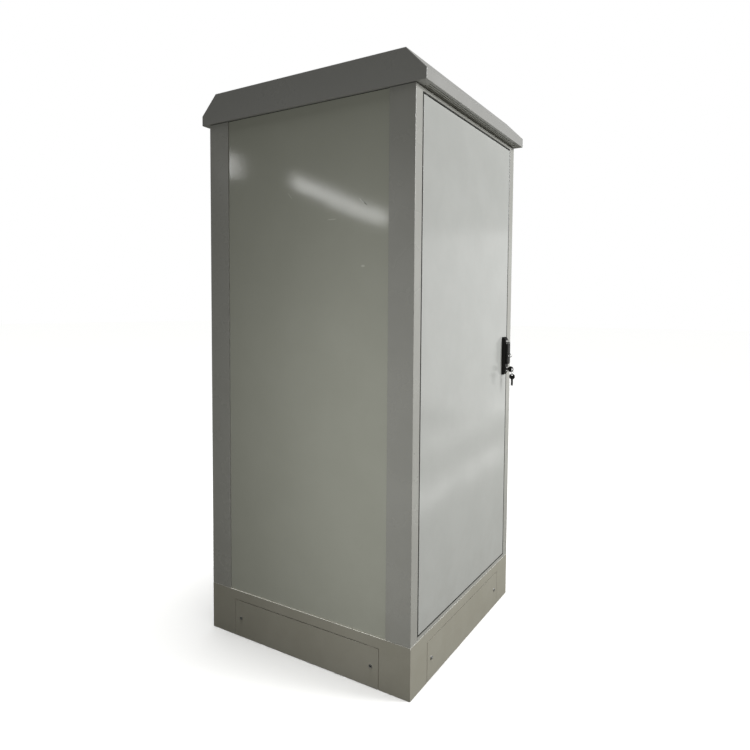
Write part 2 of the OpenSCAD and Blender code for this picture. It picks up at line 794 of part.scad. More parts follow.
// Guides that hold the lock rods behind the door
module rod_guide(z, side) {
    left = lip_mid_x + gasket_w / 2 + clear;
    right = handle_x + rod_off + rod_w / 2 + rod_clear;
    bridge = rod_y + rod_t + rod_clear;
    inner = rod_off - rod_w / 2 - rod_clear - guide_t / 2;
    translate([0, 0, z - guide_h / 2]) linear_extrude(guide_h) {
        fold([
            [left, door_back],
            [left, bridge],
            [right, bridge],
            [right, door_back],
            [door_x - door_sheet - guide_t, door_back]
        ], guide_t);
        translate([handle_x + side * inner - guide_t / 2, door_back])
            square([guide_t, bridge + guide_t - door_back]);
    }
}

module rod_guides() color(zinc) {
    rod_guide(rod_top - guide_end, 1);
    rod_guide(handle_z + guide_mid, 1);
    rod_guide(handle_z - guide_mid, -1);
    rod_guide(rod_bottom + guide_end, -1);
}

// Handle base: a slab with sloped ends, a threaded boss behind and a recess for the carrier
module handle_base() color(black) difference() {
    union() {
        low = handle_z - base_down;
        high = handle_z + base_up;
        face = -yo - base_t;
        translate([handle_x, 0, 0]) along_x(base_w) polygon([
            [-yo, low],
            [face + base_slope, low],
            [face, low + slope_len],
            [face, high - slope_len],
            [face + base_slope, high],
            [-yo, high]
        ]);
        bar_y(handle_x, -yo - past, handle_z, boss_d, door_sheet + nut_t + past);
    }
    bar_y(handle_x, -yo - base_t - past, handle_z, carrier_d + 2 * run_fit, carrier_t + clear + past);
    bar_y(handle_x, -yo - base_t, handle_z, spindle_d + 2 * run_fit, base_t + door_sheet + nut_t + past);
    bar_y(handle_x, -yo - base_t - past, lock_z, barrel_d, base_t + 2 * past);
}

module handle_nuts() color(zinc) {
    clamp_nut(handle_z, boss_d);
    clamp_nut(lock_z, barrel_d);
}
module clamp_nut(z, bore) difference() {
    bar_y(handle_x, door_in, z, nut_d, nut_t);
    bar_y(handle_x, door_in - past, z, bore, nut_t + 2 * past);
}

// Spindle: shaft, carrier disc, tongue for the lever and arm for the padlock eye
arm_t = 2.5;
arm_y = -yo - base_t - clear - arm_t;
module spindle() color(steel) difference() {
    union() {
        face = -yo - base_t;
        bar_y(handle_x, face, handle_z, carrier_d, carrier_t);
        bar_y(handle_x, face + carrier_t / 2, handle_z, spindle_d, cam_y + cam_t - face - carrier_t / 2);
        block([handle_x - tongue_w / 2, lever_y, handle_z - lever_t / 2],
            [handle_x + tongue_w / 2, face + carrier_t / 2, handle_z + lever_t / 2]);
        block([handle_x - tongue_w / 2, arm_y, handle_z - eye_at - eye_d / 2],
            [handle_x + tongue_w / 2, arm_y + arm_t, handle_z]);
        pin_bar(lever_t, tongue_w);
    }
    pin_bar(lever_pin_d, tongue_w + 2 * past);
}

// A round bar on the lever's axis
module pin_bar(d, length) {
    translate([handle_x - length / 2, lever_y, handle_z]) rotate([0, 90, 0]) cylinder(d = d, h = length);
}

module lever_pin() color(steel) pin_bar(lever_pin_d, lever_w);

// Padlock eye on the carrier's arm, reaching out through the lever
eye_y = lever_face - eye_out;
module padlock_eye() color(steel) translate([handle_x, 0, handle_z - eye_at]) {
    translate([0, eye_y, 0]) rotate([0, 90, 0]) rotate_extrude() translate([eye_d / 2, 0]) circle(d = eye_wire);
    block([-eye_wire / 2, eye_y + eye_d / 2, -eye_wire / 2], [eye_wire / 2, arm_y, eye_wire / 2]);
}

// Lever with a fork at its pin, a slot for the eye and a groove for the arm
module lever() color(black) difference() {
    union() {
        upright(lever_face, lever_t) translate([handle_x, handle_z]) lever_outline();
        pin_bar(lever_t, lever_w);
    }
    pin_bar(lever_pin_d + 2 * run_fit, lever_w + 2 * past);
    fork = tongue_w / 2 + clear;
    block([handle_x - fork, lever_face - past, handle_z - lever_t / 2 - clear],
        [handle_x + fork, lever_back + past, handle_z + lever_t]);
    block([handle_x - fork, arm_y - clear, handle_z - eye_slot_end],
        [handle_x + fork, lever_back + past, handle_z]);
    slot = eye_wire / 2 + clear;
    block([handle_x - slot, lever_face - past, handle_z - eye_slot_end],
        [handle_x + slot, lever_back + past, handle_z - eye_at + eye_r + clear]);
}
eye_r = (eye_d + eye_wire) / 2;
eye_slot_end = norm([eye_at, eye_y - lever_y]) + eye_r + clear;
lever_corner = 8;
module lever_outline() {
    half = lever_w / 2;
    translate([-half, lever_corner - lever_len]) square([lever_w, lever_len - lever_corner]);
    translate([lever_corner - half, -lever_len]) square([lever_w - 2 * lever_corner, lever_len]);
    for (side = [-1, 1]) translate([side * (half - lever_corner), lever_corner - lever_len]) circle(lever_corner);
}

// Lock cylinder: fixed barrel, turning plug with its tail, and the key in it
barrel_rear = door_in + nut_t + clear;
tail_t = 3;
module lock_barrel() color(steel) difference() {
    bar_y(handle_x, barrel_face, lock_z, barrel_d, barrel_rear - barrel_face);
    bar_y(handle_x, barrel_face - past, lock_z, plug_d + 2 * run_fit, barrel_rear - barrel_face + 2 * past);
}

module lock_plug() color(steel) difference() {
    union() {
        bar_y(handle_x, barrel_face, lock_z, plug_d, barrel_rear - barrel_face + clear + tail_t);
        block([handle_x - plug_d / 2, barrel_rear + clear, lock_z],
            [handle_x + plug_d / 2, barrel_rear + clear + tail_t, lock_z + barrel_d]);
    }
    block([handle_x - key_blade_t / 2, barrel_face - past, lock_z - key_blade_w / 2],
        [handle_x + key_blade_t / 2, barrel_face + key_blade_len, lock_z + key_blade_w / 2]);
}

// A key outline with its bow round the origin and its blade along +X
module key_outline(blade) {
    difference() {
        circle(d = key_bow);
        translate([-key_hole_in, 0]) circle(d = key_hole_d);
    }
    translate([key_bow / 2 - past, -key_blade_w / 2]) square([blade, key_blade_w]);
}
key_hole_in = key_bow / 2 - key_hole_d / 2 - key_rim;
key_neck = 4;
key_y = barrel_face - key_neck - key_bow / 2;

module key() color(black) {
    translate([handle_x - key_blade_t / 2, key_y, lock_z]) rotate([90, 0, 90])
        linear_extrude(key_blade_t) key_outline(key_neck + key_blade_len + past);
    translate([handle_x - key_bow_t / 2, key_y, lock_z]) rotate([90, 0, 90])
        linear_extrude(key_bow_t) key_outline(key_neck);
}

// Key ring through the bow, and the spare key that hangs on it
ring_gap = 0.3;
ring_y = key_y - key_hole_in;
ring_top = lock_z - key_hole_d / 2 + ring_wire / 2 + ring_gap;
ring_low = ring_top - ring_d;
spare_len = 24;
module key_ring() color(steel) translate([handle_x, ring_y, ring_top - ring_d / 2])
    rotate([90, 0, 0]) rotate_extrude() translate([ring_d / 2, 0]) circle(d = ring_wire);

module spare_key() color(black) {
    hole_z = ring_low - key_hole_d / 2 + ring_wire / 2 + ring_gap;
    translate([handle_x - key_bow_t / 2, ring_y, hole_z - key_hole_in])
        rotate([90, 0, 90]) linear_extrude(key_bow_t) rotate(-90) key_outline(spare_len);
}

// Latch cam on the spindle, with one crank pin for each rod
module latch_cam() color(zinc) {
    upright(cam_y, cam_t) translate([handle_x, handle_z]) rotate(45) difference() {
        union() {
            square([2 * crank_r, cam_w], center = true);
            for (side = [-1, 1]) translate([side * crank_r, 0]) circle(d = cam_w);
        }
        circle(d = spindle_d);
    }
    for (side = [-1, 1])
        bar_y(handle_x + side * crank_off, rod_y, handle_z + side * crank_off, crank_pin_d, cam_y + cam_t - rod_y);
}

// Lock rods, each slotted for its crank pin; side 1 is the upper one
module lock_rod(side, tip) color(zinc) difference() {
    middle = handle_x + side * rod_off;
    crank_z = handle_z + side * crank_off;
    inner = crank_z - side * rod_end;
    play = crank_pin_d / 2 + crank_play;
    slot_mid = handle_x + side * (crank_off + crank_r) / 2;
    slot_half = (crank_r - crank_off) / 2 + play;
    block([middle - rod_w / 2, rod_y, min(inner, tip)], [middle + rod_w / 2, rod_y + rod_t, max(inner, tip)]);
    block([slot_mid - slot_half, rod_y - past, crank_z - play],
        [slot_mid + slot_half, rod_y + rod_t + past, crank_z + play]);
}
module lock_rod_upper() lock_rod(1, rod_top);
module lock_rod_lower() lock_rod(-1, rod_bottom);

plinth_frame();
plinth_cover(0);  // plinth_cover_front
plinth_cover(2);  // plinth_cover_rear
plinth_cover(3);  // plinth_cover_left
plinth_cover(1);  // plinth_cover_right
plinth_screws();
frame_bolts();
corner_post_front_left();
corner_post_front_right();
corner_post_rear_left();
corner_post_rear_right();
lintel();
sill();
side_rail_top_left();
side_rail_top_right();
side_rail_bottom_left();
side_rail_bottom_right();
rear_rail_top();
rear_rail_bottom();
door_surround();
side_panel_left();
side_panel_right();
rear_panel();
floor_plate();
cable_grommets();
top_plate();
roof_seals();
roof_hood();
soffit_grille_front();
soffit_grille_rear();
cross_bar_front_lower();
cross_bar_front_upper();
cross_bar_rear_lower();
cross_bar_rear_upper();
rack_rail_front_left();
rack_rail_front_right();
rack_rail_rear_left();
rack_rail_rear_right();
earth_bar();
earth_posts();
hinge_pins();
door_panel();
door_channel();
door_gasket();
hinge_sockets();
rod_guides();
handle_base();
handle_nuts();
lock_barrel();
spindle();
latch_cam();
padlock_eye();
lever_pin();
lever();
lock_plug();
key();
key_ring();
spare_key();
lock_rod_upper();
lock_rod_lower();
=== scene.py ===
import math
import bpy
import bmesh
from mathutils import Matrix, Vector


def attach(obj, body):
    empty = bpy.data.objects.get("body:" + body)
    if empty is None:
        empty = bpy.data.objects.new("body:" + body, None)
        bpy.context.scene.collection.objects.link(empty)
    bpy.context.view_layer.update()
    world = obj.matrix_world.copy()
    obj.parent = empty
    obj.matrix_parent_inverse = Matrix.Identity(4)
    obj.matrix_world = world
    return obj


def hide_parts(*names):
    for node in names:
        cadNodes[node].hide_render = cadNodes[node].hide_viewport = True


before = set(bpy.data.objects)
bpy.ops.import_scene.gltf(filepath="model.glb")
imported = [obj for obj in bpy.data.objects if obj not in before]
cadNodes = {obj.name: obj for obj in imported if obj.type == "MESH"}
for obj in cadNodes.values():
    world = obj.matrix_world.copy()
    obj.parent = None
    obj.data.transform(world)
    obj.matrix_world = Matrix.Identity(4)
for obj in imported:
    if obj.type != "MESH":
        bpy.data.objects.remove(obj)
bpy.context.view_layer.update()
scene = bpy.context.scene
scene.view_settings.view_transform = "Standard"
print("frame loaded,", len(cadNodes), "nodes")


# the low and high corners of the box round some points
def boxOf(points):
    return [Vector(pick(point[i] for point in points) for i in range(3)) for pick in (min, max)]


def nodeBox(name):
    return boxOf([vertex.co for vertex in cadNodes[name].data.vertices])


# shader node helpers
def addNode(tree, kind, **inputs):
    node = tree.nodes.new(kind)
    for name, value in inputs.items():
        node.inputs[name].default_value = value
    return node


def mathNode(tree, operation, first, second):
    node = tree.nodes.new("ShaderNodeMath")
    node.operation = operation
    for socket, value in zip(node.inputs, (first, second)):
        if isinstance(value, (int, float)):
            socket.default_value = value
        else:
            tree.links.new(value, socket)
    return node.outputs[0]


def rangeNode(tree, value, low, high, outLow=0.0, outHigh=1.0):
    node = tree.nodes.new("ShaderNodeMapRange")
    node.interpolation_type = "SMOOTHSTEP"
    tree.links.new(value, node.inputs["Value"])
    limits = (("From Min", low), ("From Max", high), ("To Min", outLow), ("To Max", outHigh))
    for name, number in limits:
        node.inputs[name].default_value = number
    return node.outputs["Result"]


def startGroup(name, inputs, outputs):
    group = bpy.data.node_groups.new(name, "ShaderNodeTree")
    for label, kind, value in inputs:
        socket = group.interface.new_socket(name=label, in_out="INPUT", socket_type=kind)
        if value is not None:
            socket.default_value = value
    for label, kind in outputs:
        group.interface.new_socket(name=label, in_out="OUTPUT", socket_type=kind)
    return group, group.nodes.new("NodeGroupInput"), group.nodes.new("NodeGroupOutput")


# orange peel of sprayed paint over the slow waves of thin sheet
def makeSprayGroup():
    group, start, end = startGroup("sprayTexture",
        [("Vector", "NodeSocketVector", None), ("Peel", "NodeSocketFloat", 0.2),
         ("Wave", "NodeSocketFloat", 1.0)],
        [("Height", "NodeSocketFloat"), ("Patch", "NodeSocketFloat")])
    peel = addNode(group, "ShaderNodeTexNoise", Scale=260.0, Detail=1.0)
    wave = addNode(group, "ShaderNodeTexNoise", Scale=3.2, Detail=1.0)
    patch = addNode(group, "ShaderNodeTexNoise", Scale=7.0, Detail=4.0, Roughness=0.6)
    for noise in (peel, wave, patch):
        group.links.new(start.outputs["Vector"], noise.inputs["Vector"])
    fine = mathNode(group, "MULTIPLY", peel.outputs["Fac"], start.outputs["Peel"])
    slow = mathNode(group, "MULTIPLY", wave.outputs["Fac"], start.outputs["Wave"])
    group.links.new(mathNode(group, "ADD", fine, slow), end.inputs["Height"])
    group.links.new(patch.outputs["Fac"], end.inputs["Patch"])
    return group


# road dust that thins out with height
def makeDustGroup():
    group, start, end = startGroup("roadDust",
        [("Vector", "NodeSocketVector", None), ("Amount", "NodeSocketFloat", 0.4)],
        [("Mask", "NodeSocketFloat")])
    split = group.nodes.new("ShaderNodeSeparateXYZ")
    speck = addNode(group, "ShaderNodeTexNoise", Scale=22.0, Detail=6.0, Roughness=0.7)
    group.links.new(start.outputs["Vector"], split.inputs[0])
    group.links.new(start.outputs["Vector"], speck.inputs["Vector"])
    low = rangeNode(group, split.outputs["Z"], 0.02, 0.55, 1.0, 0.0)
    cloud = rangeNode(group, speck.outputs["Fac"], 0.3, 0.75)
    mask = mathNode(group, "MULTIPLY", mathNode(group, "MULTIPLY", low, cloud), start.outputs["Amount"])
    group.links.new(mask, end.inputs["Mask"])
    return group


# brushed or drawn lines along the height
def makeGrainGroup():
    group, start, end = startGroup("metalGrain",
        [("Vector", "NodeSocketVector", None), ("Scale", "NodeSocketFloat", 60.0)],
        [("Grain", "NodeSocketFloat")])
    stretch = group.nodes.new("ShaderNodeMapping")
    stretch.inputs["Scale"].default_value = (1.0, 1.0, 0.06)
    noise = addNode(group, "ShaderNodeTexNoise", Detail=5.0, Roughness=0.65)
    group.links.new(start.outputs["Vector"], stretch.inputs["Vector"])
    group.links.new(stretch.outputs["Vector"], noise.inputs["Vector"])
    group.links.new(start.outputs["Scale"], noise.inputs["Scale"])
    group.links.new(noise.outputs["Fac"], end.inputs["Grain"])
    return group


# fine speck of a moulded skin
def makeSpeckGroup():
    group, start, end = startGroup("mouldedSpeck",
        [("Vector", "NodeSocketVector", None), ("Scale", "NodeSocketFloat", 300.0)],
        [("Speck", "NodeSocketFloat")])
    noise = addNode(group, "ShaderNodeTexNoise", Detail=3.0)
    group.links.new(start.outputs["Vector"], noise.inputs["Vector"])
    group.links.new(start.outputs["Scale"], noise.inputs["Scale"])
    group.links.new(noise.outputs["Fac"], end.inputs["Speck"])
    return group


sprayGroup = makeSprayGroup()
dustGroup = makeDustGroup()
grainGroup = makeGrainGroup()
speckGroup = makeSpeckGroup()


def placeGroup(tree, group, vector, **values):
    node = tree.nodes.new("ShaderNodeGroup")
    node.node_tree = group
    tree.links.new(vector, node.inputs["Vector"])
    for name, value in values.items():
        node.inputs[name].default_value = value
    return node


def mixColors(tree, factor, first, second):
    node = tree.nodes.new("ShaderNodeMix")
    node.data_type = "RGBA"
    tree.links.new(factor, node.inputs["Factor"])
    for socket, value in ((node.inputs["A"], first), (node.inputs["B"], second)):
        if isinstance(value, tuple):
            socket.default_value = value + (1.0,)
        else:
            tree.links.new(value, socket)
    return node.outputs["Result"]


def startMaterial(name):
    material = bpy.data.materials.new(name)
    material.use_nodes = True
    tree = material.node_tree
    coords = tree.nodes.new("ShaderNodeTexCoord").outputs["Object"]
    return material, tree, coords, tree.nodes["Principled BSDF"]


def addBump(tree, shader, height, distance):
    bump = addNode(tree, "ShaderNodeBump", Distance=distance, Strength=1.0)
    tree.links.new(height, bump.inputs["Height"])
    tree.links.new(bump.outputs["Normal"], shader.inputs["Normal"])


# tones of dirt, wear and marks, of painted shade for the door gap and hole walls and of a painted highlight
# for the plinth's top edge, and how deep and rough they are
tones = dict(dust=(0.30, 0.25, 0.19), darkMark=(0.16, 0.16, 0.14), paleMark=(0.86, 0.87, 0.80),
             paintedEdgeHighlight=(0.97, 0.97, 0.92), seamShade=(0.06, 0.06, 0.055), holeWallShade=(0.012, 0.012, 0.011))
relief = dict(paint=0.002, metal=0.0002, moulded=0.0002)
dustRough = 0.3
highlightBand = 0.004
markFade = 0.4

# handling marks on the left panel: place (y, z), half length and width, turn, strength, pale or dark
panelMarks = [
    dict(place=(-0.229, 1.447), size=(0.018, 0.0022), turn=40, strength=0.8, pale=False),
    dict(place=(-0.222, 1.452), size=(0.014, 0.0018), turn=40, strength=0.6, pale=True),
    dict(place=(-0.114, 1.405), size=(0.020, 0.0022), turn=0, strength=0.5, pale=True),
    dict(place=(-0.227, 1.262), size=(0.008, 0.0040), turn=0, strength=0.5, pale=True),
    dict(place=(0.049, 1.489), size=(0.016, 0.0018), turn=50, strength=0.4, pale=True),
]


def markMask(tree, coords, pale):
    total = 0.0
    for mark in [m for m in panelMarks if m["pale"] == pale]:
        place = tree.nodes.new("ShaderNodeMapping")
        place.vector_type = "TEXTURE"
        place.inputs["Location"].default_value = (0.0,) + mark["place"]
        place.inputs["Rotation"].default_value = (math.radians(mark["turn"]), 0.0, 0.0)
        tree.links.new(coords, place.inputs["Vector"])
        split = tree.nodes.new("ShaderNodeSeparateXYZ")
        tree.links.new(place.outputs["Vector"], split.inputs[0])
        masks = [rangeNode(tree, mathNode(tree, "ABSOLUTE", split.outputs[axis], 0.0), half, half * markFade)
                 for axis, half in zip(("Y", "Z"), mark["size"])]
        left = mathNode(tree, "LESS_THAN", split.outputs["X"], 0.0)
        shape = mathNode(tree, "MULTIPLY", *masks)
        one = mathNode(tree, "MULTIPLY", shape, mathNode(tree, "MULTIPLY", left, mark["strength"]))
        total = mathNode(tree, "MAXIMUM", one, total)
    return total


# painted shade: darkens the returns of the door opening, just behind the front, and fades out over the edge
def seamShadeMask(tree, coords, side, low, high, back, fade):
    split = tree.nodes.new("ShaderNodeSeparateXYZ")
    tree.links.new(coords, split.inputs[0])
    across = mathNode(tree, "ABSOLUTE", split.outputs["X"], 0.0)
    up = split.outputs["Z"]
    masks = [rangeNode(tree, across, side + fade, side), rangeNode(tree, up, low - fade, low),
             rangeNode(tree, up, high + fade, high), mathNode(tree, "LESS_THAN", split.outputs["Y"], back)]
    total = 1.0
    for mask in masks:
        total = mathNode(tree, "MULTIPLY", mask, total)
    return total


def makePaint(name, color, worn, rough, peel, wave, dust, marks=False, punched=False, highlightAbove=None,
              seam=None):
    material, tree, coords, shader = startMaterial(name)
    spray = placeGroup(tree, sprayGroup, coords, Peel=peel, Wave=wave)
    dirt = placeGroup(tree, dustGroup, coords, Amount=dust)
    tone = mixColors(tree, rangeNode(tree, spray.outputs["Patch"], 0.25, 0.75), color, worn)
    tone = mixColors(tree, dirt.outputs["Mask"], tone, tones["dust"])
    if marks:
        tone = mixColors(tree, markMask(tree, coords, False), tone, tones["darkMark"])
        tone = mixColors(tree, markMask(tree, coords, True), tone, tones["paleMark"])
    # painted highlight: a pale band painted along the plinth's top edge
    if highlightAbove:
        split = tree.nodes.new("ShaderNodeSeparateXYZ")
        tree.links.new(coords, split.inputs[0])
        bare = rangeNode(tree, split.outputs["Z"], highlightAbove, highlightAbove + highlightBand)
        tone = mixColors(tree, bare, tone, tones["paintedEdgeHighlight"])
    # painted shade: the returns of the door gap are painted near black
    if seam:
        tone = mixColors(tree, seamShadeMask(tree, coords, **seam), tone, tones["seamShade"])
    if punched:  # painted shade: the walls of the punched holes are painted near black
        split = tree.nodes.new("ShaderNodeSeparateXYZ")
        tree.links.new(tree.nodes.new("ShaderNodeNewGeometry").outputs["True Normal"], split.inputs[0])
        flat = rangeNode(tree, mathNode(tree, "ABSOLUTE", split.outputs["Z"], 0.0), 0.3, 0.8)
        tone = mixColors(tree, flat, tones["holeWallShade"], tone)
    tree.links.new(tone, shader.inputs["Base Color"])
    sheen = rangeNode(tree, spray.outputs["Patch"], 0.2, 0.8, rough * 0.85, rough * 1.15)
    tree.links.new(mathNode(tree, "ADD", sheen, mathNode(tree, "MULTIPLY", dirt.outputs["Mask"], dustRough)),
                   shader.inputs["Roughness"])
    addBump(tree, shader, spray.outputs["Height"], relief["paint"])
    return material


def makeMetal(name, color, dull, rough, scale):
    material, tree, coords, shader = startMaterial(name)
    grain = placeGroup(tree, grainGroup, coords, Scale=scale)
    tree.links.new(mixColors(tree, grain.outputs["Grain"], color, dull), shader.inputs["Base Color"])
    tree.links.new(rangeNode(tree, grain.outputs["Grain"], 0.3, 0.7, rough * 0.8, rough * 1.2),
                   shader.inputs["Roughness"])
    shader.inputs["Metallic"].default_value = 1.0
    addBump(tree, shader, grain.outputs["Grain"], relief["metal"])
    return material


def makeMoulded(name, color, pale, rough, scale, gloss):
    material, tree, coords, shader = startMaterial(name)
    speck = placeGroup(tree, speckGroup, coords, Scale=scale)
    tree.links.new(mixColors(tree, speck.outputs["Speck"], color, pale), shader.inputs["Base Color"])
    tree.links.new(rangeNode(tree, speck.outputs["Speck"], 0.3, 0.7, rough * 0.85, rough * 1.15),
                   shader.inputs["Roughness"])
    shader.inputs["Specular IOR Level"].default_value = gloss
    addBump(tree, shader, speck.outputs["Speck"], relief["moulded"])
    return material


# painted shade in the gap round the door, and a painted highlight on the plinth's top edge, in metres
doorLow, doorHigh = nodeBox("door_panel")
gapShade = dict(gap=0.004, overPost=0.0018, overSill=0.0006, overLintel=0.0026, deep=0.01, fade=0.0014)
doorSeam = dict(side=doorHigh.x + gapShade["gap"] + gapShade["overPost"],
                low=doorLow.z - gapShade["gap"] - gapShade["overSill"],
                high=doorHigh.z + gapShade["gap"] + gapShade["overLintel"],
                back=doorLow.y + gapShade["deep"], fade=gapShade["fade"])
highlightDepth = 0.008
highlightFrom = nodeBox("plinth_frame")[1].z - highlightDepth
finishes = dict(
    panel=makePaint("panelPaint", (0.52, 0.53, 0.46), (0.50, 0.51, 0.44), 0.075, 0.03, 0.7, 0.06, marks=True),
    # painted shade: the frame is painted near black in the door gap
    frame=makePaint("framePaint", (0.45, 0.45, 0.42), (0.42, 0.42, 0.39), 0.27, 0.025, 0.5, 0.15,
                    seam=doorSeam),
    door=makePaint("doorPaint", (0.54, 0.55, 0.53), (0.51, 0.52, 0.50), 0.15, 0.05, 1.0, 0.12),
    # painted shade: the hole walls of the vent strip are painted near black
    vent=makePaint("ventPaint", (0.58, 0.58, 0.55), (0.54, 0.54, 0.51), 0.40, 0.10, 0.4, 0.0, punched=True),
    # painted highlight: the plinth's top edge bevel is painted pale
    edge=makePaint("edgeHighlightPaint", (0.38, 0.36, 0.31), (0.36, 0.34, 0.29), 0.35, 0.01, 0.2, 0.0,
                   highlightAbove=highlightFrom),
    # painted shade: the door surround is painted near black so the door gap reads dark
    inner=makePaint("surroundShadePaint", (0.15, 0.15, 0.14), (0.12, 0.12, 0.11), 0.45, 0.12, 0.5, 0.0),
    roof=makePaint("roofPaint", (0.40, 0.40, 0.385), (0.385, 0.385, 0.37), 0.30, 0.12, 0.4, 0.0),
    plinth=makePaint("plinthPaint", (0.445, 0.43, 0.365), (0.415, 0.40, 0.335), 0.17, 0.04, 0.9, 0.10),
    zinc=makeMetal("zincPlate", (0.62, 0.63, 0.64), (0.48, 0.49, 0.50), 0.38, 50.0),
    bright=makeMetal("brightSteel", (0.72, 0.72, 0.71), (0.58, 0.58, 0.57), 0.22, 220.0),
    dark=makeMetal("blackenedSteel", (0.10, 0.10, 0.10), (0.06, 0.06, 0.06), 0.55, 120.0),
    copper=makeMetal("copperBar", (0.72, 0.38, 0.24), (0.50, 0.24, 0.14), 0.32, 90.0),
    black=makeMoulded("blackMoulding", (0.007, 0.007, 0.007), (0.014, 0.014, 0.013), 0.38, 420.0, 0.25),
    rubber=makeMoulded("sealRubber", (0.016, 0.016, 0.016), (0.030, 0.030, 0.029), 0.75, 300.0, 0.4),
)
print("finishes made:", len(finishes))

# the finish of each CAD node, by the start of its name
nodeFinish = [
    ("plinth_screws", "zinc"), ("plinth_", "plinth"), ("side_panel", "panel"), ("door_panel", "door"),
    ("roof_seals", "rubber"), ("roof_hood", "roof"), ("soffit", "vent"), ("cable_grommets", "rubber"),
    ("door_gasket", "rubber"), ("earth_bar", "copper"), ("lever_pin", "bright"), ("lever", "black"),
    ("handle_base", "black"), ("key_ring", "bright"), ("key", "black"), ("spare_key", "black"),
    ("lock_barrel", "bright"), ("lock_plug", "bright"), ("padlock_eye", "bright"), ("hinge_", "dark"),
    ("spindle", "bright"), ("corner_post", "frame"), ("lintel", "frame"), ("sill", "frame"),
    ("side_rail", "frame"), ("rear_rail", "frame"), ("door_surround", "inner"), ("rear_panel", "panel"),
]
# folded sheet and mouldings get a small round on their edges, in metres
foldedEdge = dict(weld=0.00001, segments=2, limit=40, plinthTimes=2.6)
edgeRound = dict(plinth=0.0012, panel=0.001, door=0.0016, roof=0.0016, frame=0.0014, black=0.0012)


def dressNodes():
    for name, obj in cadNodes.items():
        finish = next((kind for start, kind in nodeFinish if name.startswith(start)), "zinc")
        obj.data.materials.clear()
        obj.data.materials.append(finishes[finish])
        if finish in edgeRound and not name.startswith("plinth_cover"):
            weld = obj.modifiers.new("weld", "WELD")
            weld.merge_threshold = foldedEdge["weld"]
            bevel = obj.modifiers.new("edgeRound", "BEVEL")
            bevel.width = edgeRound[finish] * (foldedEdge["plinthTimes"] if name == "plinth_frame" else 1)
            bevel.segments = foldedEdge["segments"]
            bevel.limit_method = "ANGLE"
            bevel.angle_limit = math.radians(foldedEdge["limit"])
            if name == "plinth_frame":  # painted highlight: pale along its top edge
                obj.data.materials.append(finishes["edge"])
                bevel.material = 1


dressNodes()
print("nodes dressed")

# screws of the plinth covers, with a socket, as shares of the head; apart is less than the space between two
screw = dict(segments=24, rim=0.35, chamfer=0.15, sink=0.5, apart=0.03)


def findScrews():
    mesh = cadNodes["plinth_screws"].data
    spots = []
    for vertex in mesh.vertices:
        near = next((s for s in spots if (s[0] - vertex.co).length < screw["apart"]), None)
        if near is None:
            spots.append([vertex.co.copy(), [vertex.co.copy()]])
        else:
            near[1].append(vertex.co.copy())
    return [boxOf(points) for start, points in spots]


def makeScrews():
    bm = bmesh.new()
    for low, high in findScrews():
        middle, size = (low + high) / 2, high - low
        axis = 0 if abs(middle.x) > abs(middle.y) else 1
        out = Vector((0, 0, 0))
        out[axis] = math.copysign(1, middle[axis])
        radius, depth = size.z / 2, size[axis]
        ring = bmesh.ops.create_circle(bm, cap_ends=True, segments=screw["segments"], radius=radius)["verts"]
        face = ring[0].link_faces[0]
        raised = bmesh.ops.extrude_face_region(bm, geom=[face])["geom"]
        top = next(g for g in raised if isinstance(g, bmesh.types.BMFace))
        bmesh.ops.translate(bm, verts=top.verts, vec=(0, 0, depth))
        bmesh.ops.inset_region(bm, faces=[top], thickness=radius * screw["rim"], depth=0.0)
        bmesh.ops.inset_region(bm, faces=[top], thickness=radius * screw["chamfer"], depth=0.0)
        bmesh.ops.translate(bm, verts=top.verts, vec=(0, 0, -depth * screw["sink"]))
        made = set(ring)
        grow = list(ring)
        while grow:
            for edge in grow.pop().link_edges:
                for vertex in edge.verts:
                    if vertex not in made:
                        made.add(vertex)
                        grow.append(vertex)
        turn = Vector((0, 0, 1)).rotation_difference(out).to_matrix().to_4x4()
        bmesh.ops.transform(bm, matrix=Matrix.Translation(middle - out * depth / 2) @ turn, verts=list(made))
    bmesh.ops.recalc_face_normals(bm, faces=bm.faces)
    mesh = bpy.data.meshes.new("coverScrews")
    bm.to_mesh(mesh)
    bm.free()
    obj = bpy.data.objects.new("coverScrews", mesh)
    scene.collection.objects.link(obj)
    mesh.materials.append(finishes["zinc"])
    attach(obj, "frame")
    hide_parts("plinth_screws")
    return obj


makeScrews()
print("screws made")

# floor, light and camera
studio = dict(floorSize=40.0, floorTones=((0.99, 0.99, 0.98), (1.0, 1.0, 0.99)), floorRough=0.8,
              bounce=(0.122, 0.122, 0.107), ambient=0.055, ambientTone=(1.0, 1.0, 0.97), sun=3.2, sunAngle=26)
viewpoint = dict(place=(-1.88221, -1.20216, 1.13614), turn=(86.95123, -0.44078, -58.86548), lens=28.9056,
                 sensor=36.0, shift=(-0.013739, -0.045208))
